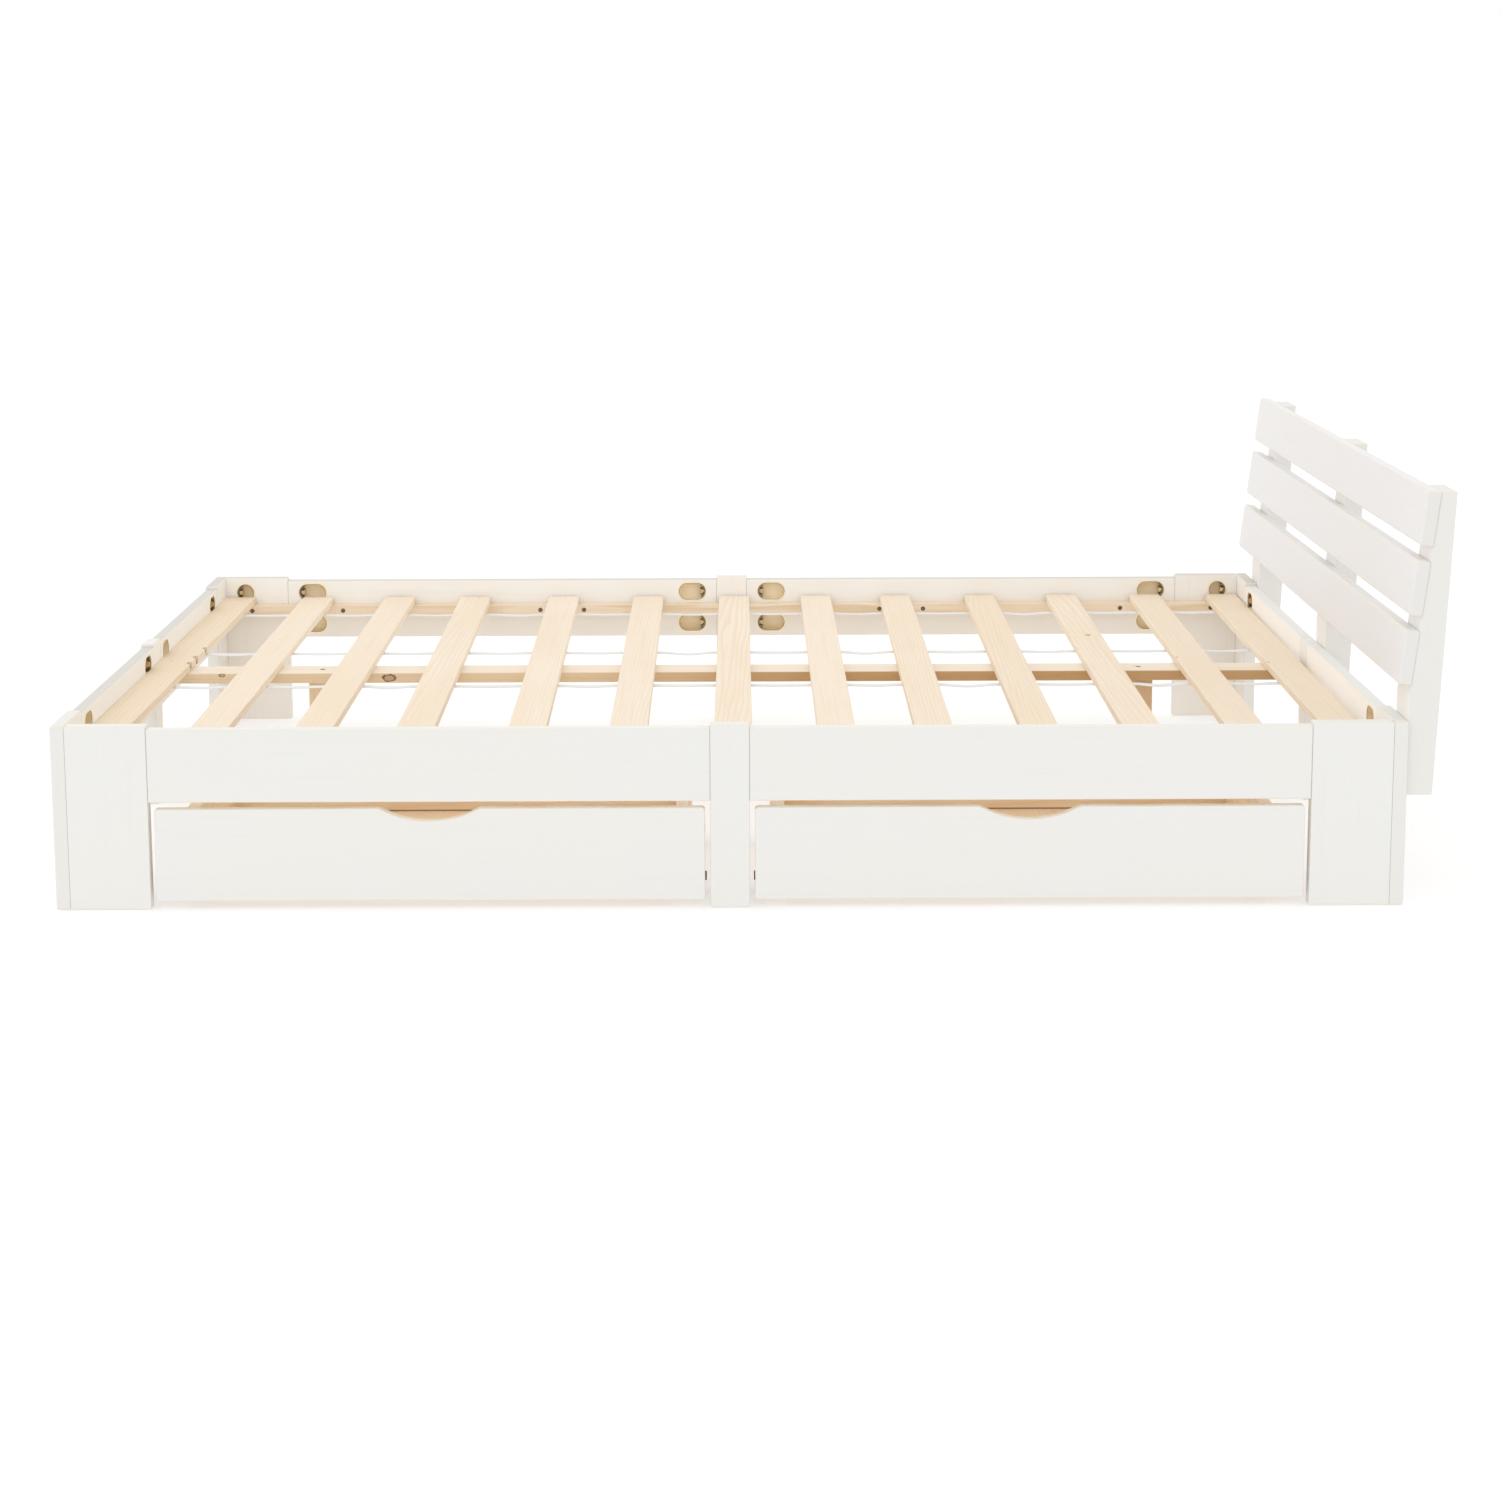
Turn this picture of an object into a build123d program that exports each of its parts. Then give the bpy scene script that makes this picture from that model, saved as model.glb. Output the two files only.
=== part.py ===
"""Low double bed frame with a reclined plank headboard and two rolling drawers.

Frame of reference: +X runs from the foot end to the head end, +Y from the
drawer side (front) to the far side (back), +Z is up. The origin lies on the
floor, at the middle of the overall length and width. All sizes in millimetres.
"""
from build123d import *
import os
from dataclasses import dataclass
from math import cos, radians, sin, sqrt, tan

# ---------------------------------------------------------------- overall bed
BED_LENGTH = 2070.0
BED_WIDTH = 1460.0
HEADBOARD_REACH = 63.0          # how far the headboard posts lean out behind the head end
POST_HEIGHT = 288.0
POST_THICK = 22.0               # thickness of the boards that form the corners and centre posts
SIDE_BOARD_WIDTH = 124.0        # corner board on a long side
END_BOARD_WIDTH = 126.0         # corner board on an end, covers the side board's end grain
CENTRE_POST_WIDTH = 60.0
RAIL_BOTTOM = 168.0
RAIL_TOP = 282.0
RAIL_SETBACK = 1.0              # rail's outer face behind the posts' outer faces
POST_EASE = 3.0                 # rounding of the painted posts' free edges
RAIL_EASE = 2.0
BUTT_EASE = 0.6                 # small rounding where two boards butt

# ------------------------------------------------------------------ connectors
POCKET_WIDTH = 32.0
POCKET_LENGTH = 52.0
POCKET_DEPTH = 16.0
POCKET_RIM = 1.2                # chamfer round the pocket's mouth
POCKET_LAND = 23.0              # wood left between the pocket and the joint
POCKET_HEIGHTS = (195.0, 258.0)
CORNER_POCKET_HEIGHTS = (70.0, 258.0)
BOLT_RADIUS = 4.0
BOLT_HEAD_FLATS = 13.0
BOLT_HEAD_THICK = 5.3
BOLT_GRIP = 24.0                # shank length in a post's edge
CORNER_BOLT_GRIP = 15.0         # shank length in an end board's face
WASHER_THICK = 2.5
WASHER_DEPTH = 13.0
WASHER_HALF_ANGLE = 58.0
HOLE_PLAY = 0.05                # play of a hole round the fastener in it
CUT_OVERRUN = 1.0

# ------------------------------------------------------------------- slat base
LEDGER_DEPTH = 28.0
LEDGER_HEIGHT = 20.0
LEDGER_END_GAP = 1.0
SLAT_SEAT = 236.0               # top of the ledgers and of the centre beam
SLAT_COUNT = 13
SLAT_WIDTH = 60.0
SLAT_THICK = 14.0
SLAT_END_GAP = 4.0
SLAT_PITCH = 163.0
SLAT_DRIFT = (-5, -10, -8, -15, -1, 0, 5, 5, -2, 3, 2, 4, -6)   # hand-laid unevenness along X
SLAT_TURN = (0, 0.2, 0.3, 0.7, 0.7, 0.3, 0, 0, -0.2, -0.3, -0.4, -0.6, -0.6)    # and about Z, in degrees
SLAT_EASE = 2.0
BEAM_WIDTH = 70.0
BEAM_THICK = 18.0
LEG_SIZE = 45.0
LEG_OFFSET = 721.0              # leg centre from the middle of the bed
TAPE_WIDTH = 22.0
TAPE_THICK = 1.0
TAPE_INSET = 10.0               # tape ends inside the outer slats' far edges
TAPE_OFFSETS = (-570.0, -155.0, 155.0, 570.0)

# ------------------------------------------------------------------- headboard
RECLINE = 7.0                   # degrees from upright
PLANK_COUNT = 3
PLANK_HEIGHT = 84.6
PLANK_THICK = 20.0
PLANK_PITCH = 107.4             # along the recline
PLANK_LENGTH = 1450.0
PLANK_EASE = 3.0
PLANK_START = 342.6             # height of the lowest plank's lower back edge
HEADBOARD_POST_WIDTH = 84.0
HEADBOARD_POST_CENTRES = {"front": -680.5, "centre": -38.0, "back": 623.0}     # not quite evenly set
HEADBOARD_POST_BOTTOM = 172.0
HEADBOARD_POST_TOP = 640.0
HEADBOARD_POST_FOOT_DEPTH = 40.0
HEADBOARD_POST_TOP_DEPTH = 24.0
HEADBOARD_EASE = 2.0

# ---------------------------------------------------------------- wood screws
SCREW_RADIUS = 2.0
SCREW_GRIP = 14.0               # length past the board that a screw comes through
BEAM_SCREW_GRIP = 30.0
SCREW_HEAD_RADIUS = 4.5
SCREW_HEAD_DEPTH = 3.0
LEDGER_SCREW_OFFSETS = (-957.0, -776.0, -382.0, -295.0, 295.0, 382.0, 776.0, 957.0)
POST_SCREW_HEIGHTS = (216.0, 237.0)

# --------------------------------------------------------------------- drawers
FRONT_SIDE_GAP = 8.5            # front's ends to the posts beside it
FRONT_BOTTOM = 13.0
FRONT_HEIGHT = 144.5
FRONT_THICK = 18.0
FRONT_CORNER = 5.0
FRONT_EASE = 1.6
NOTCH_WIDTH = 152.0
NOTCH_DEPTH = 20.0
NOTCH_SHOULDER = 16.0
BOX_INSET = 27.0                # front's end to the box's outer face
BOX_SIDE_THICK = 20.0
BOX_BACK_THICK = 18.0
BOX_BOTTOM = 16.0
BOX_HEIGHT = 115.0
BOX_INNER_DEPTH = 430.0
BOX_EASE = 1.5
PANEL_THICK = 4.0
PANEL_TOP = 46.0
PANEL_GROOVE = 6.0
WHEEL_RADIUS = 25.0
WHEEL_WIDTH = 17.0
WHEEL_GAP = 2.5                 # wheel to the box side
WHEEL_HUB_RADIUS = 10.0
WHEEL_DISH = 3.0                # depth of the wheel's recessed web
WHEEL_RIM = 5.0
WHEEL_EASE = 2.0
WHEEL_PLAY = 0.06               # radial running play on the axle
AXLE_HEAD_RADIUS = 7.5
AXLE_HEAD_THICK = {"front": 8.0, "rear": 2.0}
AXLE_HEAD_EASE = 1.0
AXLE_HEAD_PLAY = 1.0            # wheel to the axle's head
FRONT_AXLE_SETBACK = 100.0      # from the bed's front face
REAR_AXLE_SETBACK = 400.0

# -------------------------------------------------------------- derived places
OVERALL_LENGTH = BED_LENGTH + HEADBOARD_REACH
FOOT_X = -OVERALL_LENGTH / 2
HEAD_X = FOOT_X + BED_LENGTH
MID_X = (FOOT_X + HEAD_X) / 2
INNER_HALF_WIDTH = BED_WIDTH / 2 - POST_THICK
BOLT_AXIS = POST_THICK - POCKET_DEPTH / 2       # from the posts' outer face
CORNER_SPAN = POST_THICK + SIDE_BOARD_WIDTH     # a corner's width seen from a long side


@dataclass(frozen=True)
class Side:
    """One side of the bed: local x along it, local y from its outer face inwards."""

    name: str
    span: float
    corner_start: float
    corner_width: float
    board_kind: str
    low_end: str
    high_end: str
    hidden_pockets: bool            # the middle joints' pockets open outwards, behind the headboard
    centre_height: float            # top of the centre post
    frame: Location


SIDES = (
    Side("front", BED_LENGTH, POST_THICK, SIDE_BOARD_WIDTH, "side", "foot", "head", False, POST_HEIGHT,
         Pos(MID_X, -BED_WIDTH / 2, 0)),
    Side("back", BED_LENGTH, POST_THICK, SIDE_BOARD_WIDTH, "side", "head", "foot", False, POST_HEIGHT,
         Pos(MID_X, BED_WIDTH / 2, 0) * Rot(0, 0, 180)),
    Side("foot", BED_WIDTH, 0.0, END_BOARD_WIDTH, "end", "back", "front", False, POST_HEIGHT,
         Pos(FOOT_X, 0, 0) * Rot(0, 0, -90)),
    Side("head", BED_WIDTH, 0.0, END_BOARD_WIDTH, "end", "front", "back", True, RAIL_TOP,
         Pos(HEAD_X, 0, 0) * Rot(0, 0, 90)),
)


# ------------------------------------------------------------------- utilities
def eased_board(low, high, ease, axes=(Axis.X, Axis.Y, Axis.Z)):
    """A board between two corners, with its edges along the given axes rounded."""
    size = [b - a for a, b in zip(low, high)]
    blank = Pos(*low) * Box(*size, align=(Align.MIN, Align.MIN, Align.MIN))
    edges = [edge for axis in axes for edge in blank.edges().filter_by(axis)]
    return fillet(edges, ease)


def cylinder_along_x(radius, start, end):
    """A cylinder on the x axis from start to end."""
    turned = Rot(0, 90, 0) * Cylinder(radius, end - start, align=(Align.CENTER, Align.CENTER, Align.MIN))
    return Pos(start, 0, 0) * turned


def facing_y(sketch, top, depth, taper=0):
    """Extrude a sketch whose y becomes z, from y = top down to y = top - depth."""
    return Pos(0, top, 0) * Rot(90, 0, 0) * extrude(sketch, depth, taper=taper)


# ------------------------------------------------------------------ connectors
def pocket_cutter(round_pocket):
    """Pocket with a chamfered mouth. x = 0 is the joint plane, y = 0 the bolt's axis."""
    length = POCKET_WIDTH if round_pocket else POCKET_LENGTH
    middle = POCKET_LAND + length / 2
    mouth = POCKET_DEPTH / 2

    def outline(grow):
        if round_pocket:
            return Circle(POCKET_WIDTH / 2 + grow)
        return SlotOverall(length + 2 * grow, POCKET_WIDTH + 2 * grow)

    hollow = facing_y(outline(0), mouth + CUT_OVERRUN, POCKET_DEPTH + CUT_OVERRUN)
    rim = facing_y(outline(POCKET_RIM), mouth, POCKET_RIM, taper=45)
    return Pos(middle, 0, 0) * (hollow + rim)


def bolt_hole(grip):
    """Hole for a connector bolt, from the pocket across the joint plane."""
    return cylinder_along_x(BOLT_RADIUS + HOLE_PLAY, -grip - CUT_OVERRUN, POCKET_LAND + CUT_OVERRUN)


def washer_centre():
    """Where the pocket's round end has its centre, from the joint plane."""
    return POCKET_LAND + POCKET_WIDTH / 2


def crescent_washer():
    """Half-moon washer that lines the pocket's round end."""
    outer = POCKET_WIDTH / 2 - HOLE_PLAY
    ring = Circle(outer) - Circle(outer - WASHER_THICK)
    wedge = Polygon((0, 0), *[
        (-POCKET_WIDTH * cos(radians(a)), POCKET_WIDTH * sin(radians(a)))
        for a in (-WASHER_HALF_ANGLE, 0, WASHER_HALF_ANGLE)], align=None)
    band = facing_y(ring & wedge, WASHER_DEPTH / 2, WASHER_DEPTH)
    washer = Pos(washer_centre(), 0, 0) * band
    return washer - cylinder_along_x(BOLT_RADIUS + HOLE_PLAY, 0, washer_centre())


def connector_bolt(grip):
    """Hex bolt from the pocket through the rail's end into the post."""
    corner = BOLT_HEAD_FLATS / sqrt(3)
    inner = POCKET_WIDTH / 2 - HOLE_PLAY - WASHER_THICK
    seat = washer_centre() - sqrt(inner ** 2 - corner ** 2) + HOLE_PLAY
    head = Pos(seat, 0, 0) * Rot(0, 90, 0) * extrude(RegularPolygon(corner, 6), BOLT_HEAD_THICK)
    return cylinder_along_x(BOLT_RADIUS, -grip, seat) + head


def rail_spans(side):
    """The two stretches of a side that its rails fill, as (start, end) along it."""
    reach = side.span / 2 - side.corner_start - side.corner_width
    return (-reach, -CENTRE_POST_WIDTH / 2), (CENTRE_POST_WIDTH / 2, reach)


def rail_joints(side):
    """Local frames of a side's rail joints, each opening into its rail's inner or outer face."""
    inner = Pos(0, BOLT_AXIS, 0)
    outer = Pos(0, RAIL_SETBACK + POCKET_DEPTH / 2, 0) * Rot(180, 0, 0)
    middle = outer if side.hidden_pockets else inner
    (low, low_middle), (high_middle, high) = rail_spans(side)
    ends = ((low, 0, inner), (low_middle, 180, middle), (high_middle, 0, middle), (high, 180, inner))
    return [Pos(x, 0, z) * Rot(0, turn, 0) * depth for x, turn, depth in ends for z in POCKET_HEIGHTS]


def corner_joints(side):
    """Local frames of the joints that pull a side's corner boards to the end boards."""
    if side.board_kind == "end":
        return []
    reach = side.span / 2 - side.corner_start
    return [Pos(x, BOLT_AXIS, z) * Rot(0, turn, 0)
            for x, turn in ((-reach, 0), (reach, 180))
            for z in CORNER_POCKET_HEIGHTS]


def all_joints():
    """Every bolted joint of the frame: (frame in the bed, shank length past the joint)."""
    rails = [(side.frame * joint, BOLT_GRIP) for side in SIDES for joint in rail_joints(side)]
    corners = [(side.frame * joint, CORNER_BOLT_GRIP) for side in SIDES for joint in corner_joints(side)]
    return rails + corners


# ----------------------------------------------------------------- wood screws
def wood_screw(length, play=0.0):
    """Countersunk screw along +z, its head's flat face at z = 0 facing -z."""
    shank = Cylinder(SCREW_RADIUS + play, length, align=(Align.CENTER, Align.CENTER, Align.MIN))
    head = Cone(SCREW_HEAD_RADIUS + play, SCREW_RADIUS + play, SCREW_HEAD_DEPTH,
                align=(Align.CENTER, Align.CENTER, Align.MIN))
    return shank + head


def ledger_screws():
    """Screws through each ledger into the boards of its long side: (frame, length)."""
    height = SLAT_SEAT - LEDGER_HEIGHT / 2
    face = INNER_HALF_WIDTH - LEDGER_DEPTH
    return [(Pos(MID_X + x, way * face, height) * Rot(-90 * way, 0, 0), LEDGER_DEPTH + SCREW_GRIP / 2)
            for way in (-1, 1) for x in LEDGER_SCREW_OFFSETS]


def beam_screws():
    """Screws through the end posts into the beam, and down through it into its legs."""
    end_length = POST_THICK + BEAM_SCREW_GRIP
    leg_length = BEAM_THICK + BEAM_SCREW_GRIP
    height = SLAT_SEAT - BEAM_THICK / 2
    ends = [(Pos(FOOT_X, 0, height) * Rot(0, 90, 0), end_length),
            (Pos(HEAD_X, 0, height) * Rot(0, -90, 0), end_length)]
    legs = [(Pos(MID_X + x, 0, SLAT_SEAT) * Rot(180, 0, 0), leg_length) for x in (-LEG_OFFSET, LEG_OFFSET)]
    return ends + legs


def post_back_x(z):
    """The headboard posts' back face at a height."""
    foot = HEAD_X + HEADBOARD_POST_FOOT_DEPTH
    rise = (z - HEADBOARD_POST_BOTTOM) / (HEADBOARD_POST_TOP - HEADBOARD_POST_BOTTOM)
    return foot + rise * (HEAD_X + HEADBOARD_REACH - foot)


def post_front_x(z):
    """The headboard posts' front face at a height: upright at first, then reclined."""
    top = HEAD_X + HEADBOARD_REACH - HEADBOARD_POST_TOP_DEPTH
    return max(HEAD_X, top - (HEADBOARD_POST_TOP - z) * tan(radians(RECLINE)))


def headboard_screws():
    """Screws from the back of each headboard post into the head end and the planks."""
    heights = list(POST_SCREW_HEIGHTS) + [plank_centre(i)[1] for i in range(PLANK_COUNT)]
    return [(Pos(post_back_x(z) - HOLE_PLAY, y, z) * Rot(0, -90, 0),
             post_back_x(z) - post_front_x(z) + SCREW_GRIP)
            for y in HEADBOARD_POST_CENTRES.values() for z in heights]


def all_screws():
    """Every wood screw as (frame, length)."""
    return ledger_screws() + beam_screws() + headboard_screws()


def drill(part):
    """Cut the holes of the wood screws that pass near a board."""
    box = part.bounding_box()

    def near(frame, length):
        reach = length + CUT_OVERRUN
        return all(low - reach < at < high + reach for low, at, high in zip(box.min, frame.position, box.max))

    cutters = [frame * wood_screw(length, HOLE_PLAY) for frame, length in all_screws() if near(frame, length)]
    return part - cutters if cutters else part


# ------------------------------------------------------------- posts and rails
def upright_board(start, end, free_corner, height=POST_HEIGHT):
    """A standing board, rounded but for its upright edges, which butt and stay almost sharp.

    free_corner rounds the upright edge at the start of the outer face too."""
    size = (end - start, POST_THICK, height)
    blank = Pos(start, 0, 0) * Box(*size, align=(Align.MIN, Align.MIN, Align.MIN))
    uprights = blank.edges().filter_by(Axis.Z).sort_by(lambda edge: edge.center().X + edge.center().Y)
    butted = uprights[1:] if free_corner else uprights
    board = fillet([edge for edge in blank.edges() if edge not in butted], POST_EASE)
    places = [edge.center() for edge in butted]
    seams = [edge for edge in board.edges().filter_by(Axis.Z)
             if any((edge.center() - place).length < BUTT_EASE for place in places)]
    return fillet(seams, BUTT_EASE)


def corner_board(side, at_low_end):
    """One of the two boards of a corner."""
    start = -side.span / 2 + side.corner_start
    board = upright_board(start, start + side.corner_width, side.board_kind == "end")
    return board if at_low_end else mirror(board, Plane.YZ)


def centre_post(side):
    """Post in the middle of a side."""
    return upright_board(-CENTRE_POST_WIDTH / 2, CENTRE_POST_WIDTH / 2, False, side.centre_height)


def rail(start, end):
    """Rail between two posts, set back a little from their outer faces."""
    low = (start, RAIL_SETBACK, RAIL_BOTTOM)
    high = (end, POST_THICK, RAIL_TOP)
    board = eased_board(low, high, RAIL_EASE, (Axis.X,))
    ends = board.faces().filter_by(Axis.X)
    return chamfer(ends.edges().filter_by(Axis.Z), BUTT_EASE)


def bore_side(side, part):
    """Cut the pockets and bolt holes of a side's own joints."""
    rails = [joint * (pocket_cutter(False) + bolt_hole(BOLT_GRIP)) for joint in rail_joints(side)]
    corners = [joint * (pocket_cutter(True) + bolt_hole(CORNER_BOLT_GRIP)) for joint in corner_joints(side)]
    box = part.bounding_box()
    near = [c for c in rails + corners
            if c.bounding_box().min.X < box.max.X and c.bounding_box().max.X > box.min.X]
    return part - near if near else part


def end_board_bolt_holes():
    """The corner bolts' holes in the end boards, in the bed's frame."""
    frames = [side.frame * joint for side in SIDES for joint in corner_joints(side)]
    return [frame * bolt_hole(CORNER_BOLT_GRIP) for frame in frames]


def side_parts(side):
    """The posts and rails of one side, in the bed's frame."""
    (low_span, high_span) = rail_spans(side)
    local = {
        f"{side.low_end}_{side.name}": corner_board(side, True),
        f"{side.high_end}_{side.name}": corner_board(side, False),
        f"{side.name}_centre_post": centre_post(side),
        f"{side.name}_rail_{side.low_end}": rail(*low_span),
        f"{side.name}_rail_{side.high_end}": rail(*high_span),
    }
    return {corner_name(side, name): side.frame * bore_side(side, part) for name, part in local.items()}


def corner_name(side, name):
    """A corner board is named after its end, its side and its kind."""
    words = name.split("_")
    if len(words) != 2:
        return name
    end, flank = words if side.board_kind == "side" else reversed(words)
    return f"{end}_{flank}_corner_{side.board_kind}_board"


def frame_parts():
    """All posts and rails, with the holes of the bolts and screws that reach them."""
    parts = {}
    for side in SIDES:
        parts.update(side_parts(side))
    corner_holes = end_board_bolt_holes()
    for name, part in parts.items():
        if name.endswith("end_board"):
            part = part - corner_holes
        parts[name] = drill(part)
    return parts


# ------------------------------------------------------------------- slat base
def ledgers():
    """Battens along the inner faces of the long sides that carry the slats."""
    low_x = FOOT_X + POST_THICK + LEDGER_END_GAP
    high_x = HEAD_X - POST_THICK - LEDGER_END_GAP
    bottom = SLAT_SEAT - LEDGER_HEIGHT
    outer, inner = INNER_HALF_WIDTH, INNER_HALF_WIDTH - LEDGER_DEPTH
    pair = [eased_board((low_x, min(a, b), bottom), (high_x, max(a, b), SLAT_SEAT), BOX_EASE, (Axis.X,))
            for a, b in ((-outer, -inner), (inner, outer))]
    return Compound([drill(batten) for batten in pair])


def centre_beam():
    """Flat board under the middle of the slats, from end to end."""
    low_x, high_x = FOOT_X + POST_THICK, HEAD_X - POST_THICK
    half = BEAM_WIDTH / 2
    beam = eased_board((low_x, -half, SLAT_SEAT - BEAM_THICK), (high_x, half, SLAT_SEAT), BOX_EASE, (Axis.X,))
    return drill(beam)


def beam_legs():
    """The two legs that stand under the centre beam."""
    half = LEG_SIZE / 2
    top = SLAT_SEAT - BEAM_THICK
    return Compound([
        drill(eased_board((MID_X + x - half, -half, 0), (MID_X + x + half, half, top), BOX_EASE))
        for x in (-LEG_OFFSET, LEG_OFFSET)])


def slat_centres():
    """The slats along X, in order from the foot end."""
    first = MID_X - SLAT_PITCH * (SLAT_COUNT - 1) / 2
    return [first + i * SLAT_PITCH + drift for i, drift in enumerate(SLAT_DRIFT)]


def slat(x, turn):
    """One cross slat, resting on both ledgers and the centre beam."""
    half = SLAT_WIDTH / 2
    reach = INNER_HALF_WIDTH - SLAT_END_GAP
    board = eased_board((-half, -reach, SLAT_SEAT), (half, reach, SLAT_SEAT + SLAT_THICK), SLAT_EASE)
    return Pos(x, 0, 0) * Rot(0, 0, turn) * board


def slat_tapes():
    """Webbing tapes stapled under the slats to hold their spacing."""
    centres = slat_centres()
    reach = SLAT_WIDTH / 2 - TAPE_INSET
    low_x, high_x = centres[0] - reach, centres[-1] + reach
    half = TAPE_WIDTH / 2
    return Compound([
        Pos(low_x, y - half, SLAT_SEAT - TAPE_THICK)
        * Box(high_x - low_x, TAPE_WIDTH, TAPE_THICK, align=(Align.MIN, Align.MIN, Align.MIN))
        for y in TAPE_OFFSETS])


# ------------------------------------------------------------------- headboard
def plank_centre(i):
    """Middle of plank i as (x, z)."""
    lean = radians(RECLINE)
    along = PLANK_HEIGHT / 2 + i * PLANK_PITCH
    back = post_front_x(PLANK_START)
    return (back + along * sin(lean) - PLANK_THICK / 2 * cos(lean),
            PLANK_START + along * cos(lean) + PLANK_THICK / 2 * sin(lean))


def headboard_plank(i):
    """One plank across the headboard posts."""
    x, z = plank_centre(i)
    blank = Box(PLANK_THICK, PLANK_LENGTH, PLANK_HEIGHT)
    plank = Pos(x, 0, z) * Rot(0, RECLINE, 0) * fillet(blank.edges(), PLANK_EASE)
    return drill(plank)


def headboard_post(y):
    """Tapered post: upright against the head end, leaning back above it."""
    front_top = post_front_x(HEADBOARD_POST_TOP)
    knee_z = HEADBOARD_POST_TOP - (front_top - HEAD_X) / tan(radians(RECLINE))
    outline = [
        (HEAD_X, HEADBOARD_POST_BOTTOM),
        (post_back_x(HEADBOARD_POST_BOTTOM), HEADBOARD_POST_BOTTOM),
        (post_back_x(HEADBOARD_POST_TOP), HEADBOARD_POST_TOP),
        (front_top, HEADBOARD_POST_TOP),
        (HEAD_X, knee_z),
    ]
    face = Polygon(*outline, align=None)
    post = Pos(0, y, 0) * facing_y(face, HEADBOARD_POST_WIDTH / 2, HEADBOARD_POST_WIDTH)
    knee = [e for e in post.edges().filter_by(Axis.Y) if abs(e.center().Z - knee_z) < HEADBOARD_EASE]
    rounded = [e for e in post.edges() if e not in knee]
    return drill(fillet(rounded, HEADBOARD_EASE))


# --------------------------------------------------------------------- drawers
def drawer_bay(end):
    """The stretch between the posts that a drawer fills, as (low x, high x)."""
    if end == "foot":
        return FOOT_X + CORNER_SPAN, MID_X - CENTRE_POST_WIDTH / 2
    return MID_X + CENTRE_POST_WIDTH / 2, HEAD_X - CORNER_SPAN


def box_faces(end):
    """Outer faces of the drawer's box, as (low x, high x)."""
    low, high = drawer_bay(end)
    step = FRONT_SIDE_GAP + BOX_INSET
    return low + step, high - step


FRONT_Y = -BED_WIDTH / 2 + RAIL_SETBACK
BOX_START_Y = FRONT_Y + FRONT_THICK
BOX_BACK_Y = BOX_START_Y + BOX_INNER_DEPTH


def drawer_panel(end, play=0.0):
    """Thin bottom panel, held in grooves on all four sides."""
    low, high = box_faces(end)
    inner_low, inner_high = low + BOX_SIDE_THICK, high - BOX_SIDE_THICK
    size = (inner_high - inner_low + 2 * PANEL_GROOVE, BOX_INNER_DEPTH + 2 * PANEL_GROOVE, PANEL_THICK)
    grown = [s + 2 * play for s in size]
    middle = ((low + high) / 2, BOX_START_Y + BOX_INNER_DEPTH / 2, PANEL_TOP - PANEL_THICK / 2)
    return Pos(*middle) * Box(*grown)


def drawer_front(end):
    """Painted front with a finger notch in the middle of its top edge."""
    low, high = drawer_bay(end)
    width = high - low - 2 * FRONT_SIDE_GAP
    radius = (NOTCH_WIDTH ** 2 / 4 + NOTCH_DEPTH ** 2) / (2 * NOTCH_DEPTH)
    outline = RectangleRounded(width, FRONT_HEIGHT, FRONT_CORNER)
    outline -= Pos(0, FRONT_HEIGHT / 2 - NOTCH_DEPTH + radius) * Circle(radius)
    shoulders = [v for v in outline.vertices() if abs(abs(v.X) - NOTCH_WIDTH / 2) < 1 and v.Y > 0]
    outline = fillet(shoulders, NOTCH_SHOULDER)
    blank = facing_y(outline, FRONT_THICK, FRONT_THICK)
    rims = [face.outer_wire().edges() for face in blank.faces().filter_by(Axis.Y)]
    board = fillet([edge for rim in rims for edge in rim], FRONT_EASE)
    middle = Pos((low + high) / 2, FRONT_Y, FRONT_BOTTOM + FRONT_HEIGHT / 2)
    return middle * board - drawer_panel(end, HOLE_PLAY)


def axle_heads(end):
    """Local frames of a drawer's axles, x outwards from the box: {axle: [frames]}."""
    low, high = box_faces(end)
    setbacks = {"front": FRONT_AXLE_SETBACK, "rear": REAR_AXLE_SETBACK}
    return {axle: [Pos(x, -BED_WIDTH / 2 + setback, WHEEL_RADIUS) * Rot(0, turn, 0)
                   for x, turn in ((low, 180), (high, 0))]
            for axle, setback in setbacks.items()}


def drawer_sides(end):
    """The two long boards of the drawer's box, bored for the axles."""
    low, high = box_faces(end)
    holes = [frame * cylinder_along_x(BOLT_RADIUS + HOLE_PLAY, -BOX_SIDE_THICK - CUT_OVERRUN, CUT_OVERRUN)
             for frames in axle_heads(end).values() for frame in frames]
    boards = []
    for x in (low, high - BOX_SIDE_THICK):
        corner = (x + BOX_SIDE_THICK, BOX_BACK_Y + BOX_BACK_THICK, BOX_BOTTOM + BOX_HEIGHT)
        board = eased_board((x, BOX_START_Y, BOX_BOTTOM), corner, BOX_EASE, (Axis.Y,))
        boards.append(board - drawer_panel(end, HOLE_PLAY) - holes)
    return Compound(boards)


def drawer_back(end):
    """Back board between the sides."""
    low, high = box_faces(end)
    board = eased_board(
        (low + BOX_SIDE_THICK, BOX_BACK_Y, BOX_BOTTOM),
        (high - BOX_SIDE_THICK, BOX_BACK_Y + BOX_BACK_THICK, BOX_BOTTOM + BOX_HEIGHT),
        BOX_EASE, (Axis.X,))
    return board - drawer_panel(end, HOLE_PLAY)


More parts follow.
